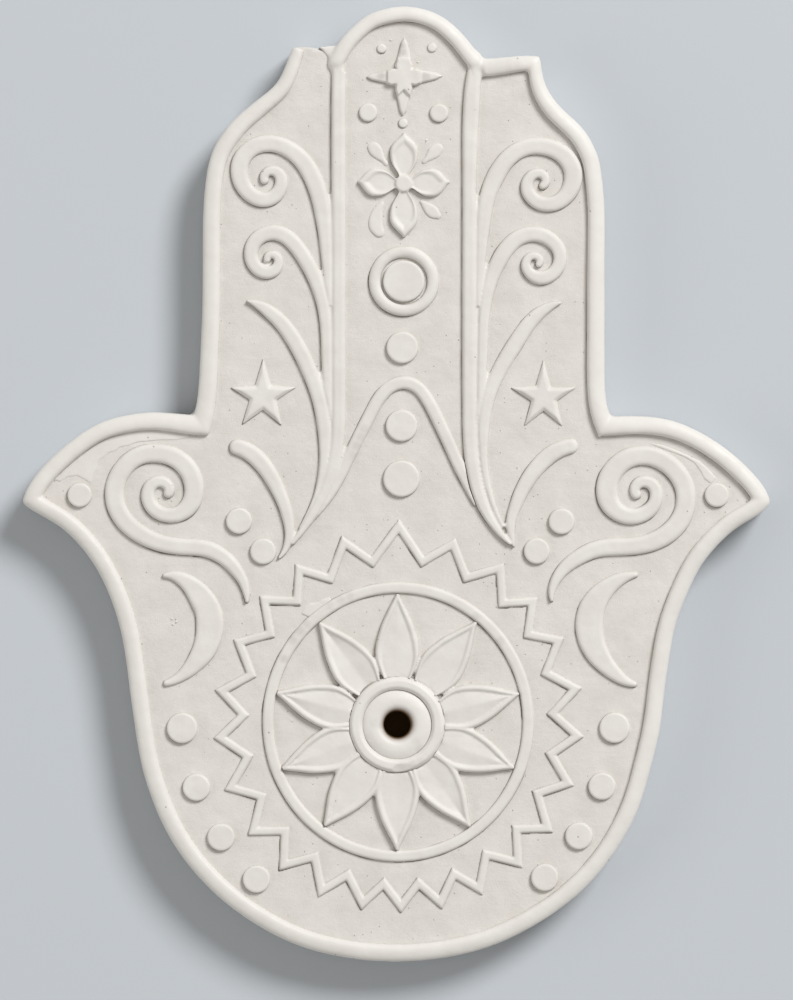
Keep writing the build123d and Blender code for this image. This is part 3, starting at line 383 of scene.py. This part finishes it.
def bedInSlip(piece, seed, allowed=None, dirtAndShadeShare=1.0, bed=0.0, gapShadeSpots=(), smears=()):
    # The foot of a sprig sits a little way in the slab. Toward the key lamp it flares into a small fillet
    # of slip, and away from it into a flat lip. Its dark line is dirt all round and painted shade away from the
    # key lamp.
    spots = pointsOf(piece)
    normals = pointsOf(piece, "normal")
    height = spots[:, 2] - slabFace - bed
    level = np.linalg.norm(normals[:, :2], axis=1)
    away = normals[:, :2] / np.maximum(level, 0.0001)[:, None]
    base, gain = slip["litShares"]
    lit = np.clip(base + gain * (away @ np.array(slip["towardKey"])), 0, 1)
    uneven = 1 + cloudAt(spots, slip["size"], seed)
    fillet = slip["spread"] * np.clip(1 - height / slip["reach"], 0, 1) ** 2 * lit
    lip = slip["lipSpread"] * np.clip(1 - height / slip["lipHeight"], 0, 1) * (1 - lit)
    flare = (fillet + lip) * uneven * (level > slip["standing"])
    # painted shade: the dark line is weighted to the side away from the key lamp
    least, rest = slip["dirtAndShadeShares"]
    dirtAndShade = slip["dirtAndShade"] * dirtAndShadeShare * np.clip(slip["dirtAndShadeTop"] - height / slip["lipHeight"], 0, 1)
    dirtAndShade *= least + rest * (1 - lit)
    dirtAndShade *= uneven * (level > slip["standing"]) * (1 - nearTo(spots, smears))
    flare *= 1 - nearTo(spots, smears)
    if allowed is not None:
        flare *= allowed
        dirtAndShade *= allowed
    # painted shade in the gaps between petals, low down on the piece
    gapShadeByHeight = np.clip((slip["gapShadeTop"] - height) / slip["gapShadeFade"], 0, 1)
    dirtAndShade = np.maximum(dirtAndShade, nearTo(spots, gapShadeSpots) * gapShadeByHeight)
    store = piece.data.attributes.new("creviceShadeAndDirt", "FLOAT", "POINT")
    store.data.foreach_set("value", np.clip(dirtAndShade, 0, 1))
    spots[:, :2] += away * flare[:, None]
    height += bed
    underside = (normals[:, 2] < slip["undersideTurn"]) & (height < slip["undersideHeight"])
    under = (height < slip["footHeight"]) | underside
    spots[:, 2] = np.where(under, np.minimum(spots[:, 2], slabFace) - slip["sink"], spots[:, 2])
    setPoints(piece, spots)


lumpWork = {"segments": 24, "rings": 12}


def lumpOf(at, size, turn=0):
    bpy.ops.mesh.primitive_uv_sphere_add(segments=lumpWork["segments"], ring_count=lumpWork["rings"],
                                         radius=1, location=spotAt(*at), scale=size,
                                         rotation=(0, 0, math.radians(turn)))
    return bpy.context.object


filmWork = {"voxel": 0.00013, "passes": 7}


def filmOf(outline, height):
    # a thin skin of slip, its outline drawn in the picture's pixels
    corners = [spotAt(column, row, slabFace - slip["sink"]) for column, row in outline]
    mesh = bpy.data.meshes.new("slipFilm")
    mesh.from_pydata(corners, [], [tuple(range(len(corners)))])
    film = bpy.data.objects.new("slipFilm", mesh)
    bpy.context.scene.collection.objects.link(film)
    only(film)
    bpy.ops.object.mode_set(mode="EDIT")
    bpy.ops.mesh.select_all(action="SELECT")
    bpy.ops.mesh.extrude_region_move(TRANSFORM_OT_translate={"value": (0, 0, slip["sink"] + height)})
    bpy.ops.mesh.select_all(action="SELECT")
    bpy.ops.mesh.normals_make_consistent(inside=False)
    bpy.ops.object.mode_set(mode="OBJECT")
    soften(film, filmWork["voxel"], filmWork["passes"])
    return film


def joined(pieces):
    only(pieces[0])
    if len(pieces) > 1:
        for piece in pieces:
            piece.select_set(True)
        bpy.ops.object.join()
    return pieces[0]


def darkenPatches(piece, patchSpots):
    # darker patches on the top, thin slip in places and painted shade of flats in others: pixel, radius in
    # pixels and strength
    spots = pointsOf(piece)
    store = piece.data.attributes.get("creviceShadeAndDirt") or piece.data.attributes.new("creviceShadeAndDirt", "FLOAT", "POINT")
    dirtAndShade = np.empty(len(spots))
    store.data.foreach_get("value", dirtAndShade)
    for column, row, radius, strength in patchSpots:
        dirtAndShade = np.maximum(dirtAndShade, strength * nearTo(spots, [(column, row, radius)]))
    store.data.foreach_set("value", dirtAndShade)


def fusedOf(nodes, name, work, extras=()):
    # pieces that slip and fingers have smoothed into one another, dressed as one
    copies = [copyOf(node, node + "_part") for node in nodes] + list(extras)
    piece = joined(copies)
    piece.name = name
    setPoints(piece, pointsOf(piece) + pointsOf(piece, "normal") * work["swell"])
    soften(piece, work["voxel"], work["passes"])
    spots = pointsOf(piece) - pointsOf(piece, "normal") * (work["swell"] - work.get("grow", 0))
    above = np.maximum(spots[:, 2] - slabFace, 0)
    spots[:, 2] += above * (work.get("lift", 1) - 1)
    setPoints(piece, spots)
    return piece


def wearAt(piece, places, reach, passes):
    # corners that hands have rounded, and forks that slip has filled
    spots = pointsOf(piece)
    group = piece.vertex_groups.new(name="worn")
    for column, row in places:
        middle = spotAt(column, row)
        gap = np.hypot(spots[:, 0] - middle.x, spots[:, 1] - middle.y)
        for index in np.nonzero(gap < reach)[0]:
            group.add([int(index)], float(1 - gap[index] / reach), "ADD")
    applied(piece, "wornCorners", "SMOOTH", factor=modelling["smoothing"], iterations=passes,
            vertex_group="worn")


facetWork = {"edge": 0.2, "low": 0.00025}     # soft share of its reach, and height that it spares


def facetAt(piece, at, turn, reach, height, lean):
    # a flat left by a knife or a thumb: reach along and across in pixels, lean as the slope of the flat
    spots = pointsOf(piece)
    middle = spotAt(*at)
    east, north = spots[:, 0] - middle.x, spots[:, 1] - middle.y
    angle = math.radians(turn)
    along = (east * math.cos(angle) + north * math.sin(angle)) / (reach[0] * picture["pixel"])
    across = (north * math.cos(angle) - east * math.sin(angle)) / (reach[1] * picture["pixel"])
    share = np.clip((1 - np.hypot(along, across)) / facetWork["edge"], 0, 1)
    flat = slabFace + height + lean[0] * east + lean[1] * north
    raised = spots[:, 2] > slabFace + facetWork["low"]
    spots[:, 2] -= share * np.maximum(spots[:, 2] - flat, 0) * raised
    setPoints(piece, spots)


def finishPiece(piece, nodes, finish):
    piece.data.materials.clear()
    piece.data.materials.append(finish)
    only(piece)
    bpy.ops.object.shade_smooth()
    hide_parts(*nodes)
    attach(piece, "root")


# voxel and passes soften the solids, depth and size are of the unevenness, swell closes their gaps first
coilWork = {"voxel": 0.00014, "passes": 3, "swell": 0.00005, "depth": 0.00006, "size": 0.004}
growthWork = dict(coilWork, swell=0.00013, passes=4)
sunWork = {"voxel": 0.00014, "passes": 3, "swell": 0, "depth": 0.00004, "size": 0.003, "dirtAndShadeShare": 0.75}
sprigWork = {"voxel": 0.00012, "passes": 4, "swell": 0.00005, "depth": 0.00004, "size": 0.002}
starWork = dict(sprigWork, lift=1.2)
palmStarWork = dict(sprigWork, passes=8, grow=0.00005)
budWork = {"voxel": 0.0001, "passes": 45, "swell": 0, "depth": 0.00005, "size": 0.001, "dirtAndShadeShare": 0.1}
petalWork = {"voxel": 0.00013, "passes": 2, "swell": 0.0001, "depth": 0.00004, "size": 0.002, "lift": 1.32}
collarWork = {"voxel": 0.00015, "passes": 3, "swell": 0, "grow": 0.0001, "depth": 0.00004, "size": 0.004,
              "bed": 0.0006}

leftGrowth = ["finger_rib_left", "blade_left", "lower_scroll_left", "upper_scroll_left", "sprout_left",
              "palm_arch"]
rightGrowth = ["finger_rib_right", "blade_right", "lower_scroll_right", "upper_scroll_right", "sprout_right"]
rosette = [f"rosette_petal_{number:02d}" for number in range(1, 11)]
flower = ["flower_petal_top", "flower_petal_right", "flower_petal_bottom", "flower_petal_left",
          "flower_button"]
reliefGroups = [
    (leftGrowth, "growth_left", growthWork, coilFinish, "clay_coil"),
    (rightGrowth, "growth_right", growthWork, coilFinish, "clay_coil"),
    (rosette, "rosette", petalWork, coilFinish, "clay_petal"),
    (flower, "flower", petalWork, coilFinish, "clay_petal"),
    (["fingertip_star", "fingertip_cross"], "fingertip_star", starWork, coilFinish, "clay_sprig"),
    (["flower_buds"], "flower_buds", budWork, coilFinish, "clay_petal"),
    (["sun_zigzag"], "sun_zigzag", sunWork, coilFinish, "clay_coil"),
    (["collar_ring"], "collar_ring", collarWork, rimFinish, "clay_cup"),
]
reliefGroups += [([node], node, coilWork, coilFinish, "clay_coil")
                 for node in ("thumb_volute_left", "thumb_volute_right", "medallion_ring", "target_ring")]
reliefGroups += [([node], node, sprigWork, coilFinish, "clay_sprig") for node in (
    "crescent_left", "crescent_right", "edge_dots_left", "edge_dots_right",
    "palm_dots_left", "palm_dots_right", "thumb_dot_left", "thumb_dot_right", "centre_dot_upper",
    "centre_dot_middle", "centre_dot_lower", "target_disc", "fingertip_dots", "fingertip_crumbs")]
reliefGroups += [([node], node, palmStarWork, coilFinish, "clay_sprig")
                 for node in ("palm_star_left", "palm_star_right")]

# films of slip and crumbs that stick to the slab beside a piece
thumbFilm = [(60, 482), (68, 477), (77, 476), (86, 481), (91, 484), (93.5, 475), (97, 468), (98, 461.5),
             (104, 457.5), (108, 453.5), (116, 451), (120, 447.5), (128, 446), (137, 442.5), (158, 440.5),
             (176, 440.5), (190, 437.5), (190, 424), (150, 424), (120, 430), (95, 444), (70, 464), (52, 480)]
thumbScar = [(646, 442), (662, 444.5), (677, 450), (690, 456), (700, 461), (708, 468), (717, 478), (711, 484),
             (704, 479), (700, 471), (694, 463), (684, 457), (672, 452.5), (660, 448)]
ringSmear = [(301, 614), (304, 607), (310, 603), (317, 602.5), (322, 599), (330, 597), (333, 603),
             (322, 609), (310, 618)]
crumb = (0.0002, 0.00016, 0.00018)
leftOvers = {
    "thumb_dot_left": lambda: [filmOf(thumbFilm, 0.00012)],
    "thumb_dot_right": lambda: [filmOf(thumbScar, 0.00013)],
    "medallion_ring": lambda: [filmOf(ringSmear, 0.00014)],
    "crescent_left": lambda: [lumpOf((172, 619), crumb), lumpOf((176.5, 622), crumb, 40),
                              lumpOf((173, 624.5), crumb)],
    "flower": lambda: [lumpOf((426.5, 140), crumb, 20)],
    "fingertip_crumbs": lambda: [lumpOf((418, 62), crumb), lumpOf((391, 40), crumb)],
}
# forks of the stems
forks = {"growth_left": [(345.5, 447), (321, 373), (319, 371), (349, 455), (297, 541)],
         "growth_right": [(505, 525), (503.5, 520), (507, 530), (485, 486), (483, 479)]}
forkWear = {"reach": 0.0009, "passes": 14}
# pixel, radius in pixels and strength of each darker patch; some are thin slip, the star's are painted shade of
# its flats
darkPatchSpots = {
    # painted shade of the flats on the star's arms
    "fingertip_star": [(381, 76, 3.5, 0.2), (426, 77, 3.8, 0.2), (402, 46, 2.5, 0.2), (402.5, 52, 3, 0.22)],
    "growth_left": [(364, 429, 4, 0.13), (360.5, 437, 4, 0.14), (356.5, 446, 4, 0.14), (352.5, 455, 3.5, 0.12)],
    "medallion_ring": [(284, 659, 3.5, 0.16), (293, 640, 4, 0.16), (300, 631, 4.5, 0.18), (307, 624, 3.5, 0.14),
                       (330, 605, 4, 0.1), (340, 600, 4, 0.12), (350, 596, 3.5, 0.1),
                       (476, 617, 4, 0.12), (500, 641, 4, 0.12)],
    "collar_ring": [(403, 766, 4, 0.08), (412, 765, 4.5, 0.1), (421, 762, 4, 0.08)],
    "stick_cup": [(375, 723, 4, 0.1), (379, 725, 3, 0.1), (416, 741, 4, 0.08), (420, 748, 4, 0.1)],
    "rim": [(491, 67, 5, 0.12), (499, 66, 6, 0.13), (508, 66, 6, 0.12), (516, 65, 5, 0.1),
            (340, 22, 6, 0.06), (352, 16, 6, 0.06)],
}
# pixel, turn, reach along and across in pixels, height and slopes of each flat
facets = {
    "collar_ring": [((412, 766), 12, (21, 9), 0.00132, (0.03, 0.3))],
    "fingertip_star": [((402, 49), 80, (11, 4), 0.0007, (0.5, 0))],
}
# painted shade in the gaps between petals, as pixel and radius in pixels
gapShadeSpots = {"rosette": [(415.8, 673, 2.6), (416.5, 669, 1.6), (443.3, 694, 2.4), (446.5, 691.5, 1.5),
                      (353.3, 692.5, 2), (350, 690, 1.4), (346.7, 726.7, 1.6), (447.5, 725.8, 1.6),
                      (356.7, 755.8, 2), (437.5, 753.3, 2)]}

relief = {}
for seed, (nodes, name, work, finish, slotName) in enumerate(reliefGroups):
    piece = fusedOf(nodes, name + "_clay", work)
    handWork(piece, work["depth"], work["size"], seed)
    bedInSlip(piece, seed, dirtAndShadeShare=work.get("dirtAndShadeShare", 1), bed=work.get("bed", 0),
              gapShadeSpots=gapShadeSpots.get(name, ()))
    if name in forks:
        wearAt(piece, forks[name], forkWear["reach"], forkWear["passes"])
    for facet in facets.get(name, ()):
        facetAt(piece, *facet)
    darkenPatches(piece, darkPatchSpots.get(name, ()))
    if name in leftOvers:
        piece = joined([piece, *leftOvers[name]()])
    finishPiece(piece, nodes, finish)
    relief[name] = piece
    print(name, len(piece.data.polygons), end="; ")
print("relief shaped:", len(relief), "pieces,", sum(len(piece.data.polygons) for piece in relief.values()),
      "faces")

cupWork = {"voxel": 0.00015, "passes": 3, "depth": 0.00004, "size": 0.004, "seed": 5}
cup = copyOf("stick_cup", "stick_cup_clay")
soften(cup, cupWork["voxel"], cupWork["passes"])
handWork(cup, cupWork["depth"], cupWork["size"], cupWork["seed"])
darkenPatches(cup, darkPatchSpots["stick_cup"])
finishPiece(cup, ["stick_cup"], cupFinish)
print("cup shaped:", len(cup.data.polygons), "faces")

rimWork = {"voxel": 0.00022, "passes": 4, "swell": 0.00006, "depth": 0.00008, "size": 0.006, "seed": 3,
           "slipSeed": 9, "inward": 0.0012, "fanHeight": 0.00022}
# The rim also carries the slip where the left stem, the finger arch and the slab's corner meet, and the
# thick joints at both feet of the arch.
jointFan = [(318, 46.5), (336, 45), (344, 56), (342, 69), (334, 71), (331, 62), (325, 54.5)]
rimLumps = [filmOf(jointFan, rimWork["fanHeight"]),
            lumpOf((336.5, 60, 0.0069), (0.0018, 0.00125, 0.00125), 62),
            lumpOf((338, 71, 0.0069), (0.0021, 0.00108, 0.00106), 88),
            lumpOf((475.5, 61, 0.0069), (0.002, 0.00128, 0.00128), -62),
            lumpOf((474.8, 72, 0.0069), (0.0024, 0.00112, 0.0011), -86),
            lumpOf((482.5, 66, 0.0069), (0.0013, 0.0011, 0.0011), 0)]
rimSmears = [(329, 58, 12), (338, 68, 8), (479, 70, 9)]
rimNodes = sorted(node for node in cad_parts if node.startswith("rim_"))
rim = fusedOf(rimNodes, "rim_clay", rimWork, rimLumps)
handWork(rim, rimWork["depth"], rimWork["size"], rimWork["seed"])
worn = {"corners": [(770, 503), (22, 503), (541, 56), (292, 46), (600, 436), (206, 437)],
        "joints": [(328, 57), (339, 73), (475, 74)], "reach": 0.0018, "rimPasses": 36, "slabPasses": 15}
wearAt(rim, worn["corners"] + worn["joints"], worn["reach"], worn["rimPasses"])

slabWork = {"voxel": 0.0005, "passes": 2, "depth": 0.00004, "size": 0.007, "seed": 7,
            "flat": 0.0002, "facing": 0.97}
slab = copyOf("hand_slab", "hand_slab_clay")
slabShape = BVHTree.FromPolygons([corner.co.copy() for corner in slab.data.vertices],
                                 [tuple(side.vertices) for side in slab.data.polygons])
# slip fillets only on the rim's inner side, where the slab goes on
spots = pointsOf(rim)
normals = pointsOf(rim, "normal")
inner = np.zeros(len(spots))
for index in np.nonzero(spots[:, 2] < slabFace + slip["reach"])[0]:
    side = Vector((normals[index][0], normals[index][1], 0)).normalized() * rimWork["inward"]
    above = Vector(spots[index]) + side
    above.z = 2 * slabFace
    if slabShape.ray_cast(above, Vector((0, 0, -1)))[0] is not None:
        inner[index] = 1
bedInSlip(rim, rimWork["slipSeed"], inner, smears=rimSmears)
darkenPatches(rim, darkPatchSpots["rim"])
finishPiece(rim, rimNodes, rimFinish)
print("rim shaped:", len(rim.data.polygons), "faces")

soften(slab, slabWork["voxel"], slabWork["passes"])
wearAt(slab, worn["corners"], worn["reach"], worn["slabPasses"])
# the back lies flat, and the face has the slow waves of a rolled slab
waves = pointsOf(slab)
level = pointsOf(slab, "normal")[:, 2]
back = (np.abs(waves[:, 2]) < slabWork["flat"]) & (level < -slabWork["facing"])
face = (np.abs(waves[:, 2] - slabFace) < slabWork["flat"]) & (level > slabWork["facing"])
rolled = slabFace + cloudAt(waves, slabWork["size"], slabWork["seed"]) * slabWork["depth"]
waves[:, 2] = np.where(back, 0, np.where(face, rolled, waves[:, 2]))
setPoints(slab, waves)
finishPiece(slab, ["hand_slab"], slabFinish)
print("slab shaped:", len(slab.data.polygons), "faces")

# nothing of the dressed piece reaches past the solids
low, high = (np.array(corner) for corner in cadBox)
for piece in [rim, slab, cup, *relief.values()]:
    setPoints(piece, np.clip(pointsOf(piece), low, high))
